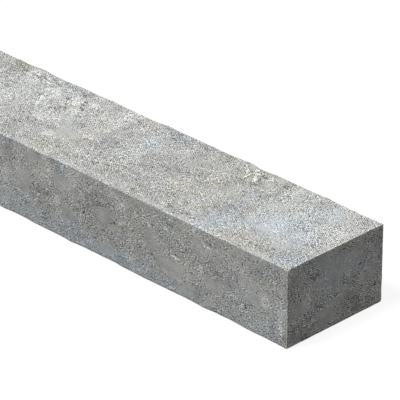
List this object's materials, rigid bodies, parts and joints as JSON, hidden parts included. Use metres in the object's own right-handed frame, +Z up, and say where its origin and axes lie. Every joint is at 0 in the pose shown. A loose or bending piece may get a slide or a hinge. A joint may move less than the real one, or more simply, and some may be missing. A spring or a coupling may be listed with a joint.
{
  "type": "concrete lintel",
  "caption": "Rectangular precast concrete lintel with sawn ends and worn, wavy long arrises, laid flat to carry masonry over a door or window opening.",
  "frame": {"origin": "under the middle of the lintel, on the plane of the soffit that it lies on", "axes": "+X along the length, +Y across the width, +Z up from the soffit to the top bed"},
  "size_m": [0.9, 0.1, 0.065],
  "materials": {
    "concrete": "matte"
  },
  "bodies": {
    "root": {"concrete_lintel": "concrete"}
  },
  "joints": []
}
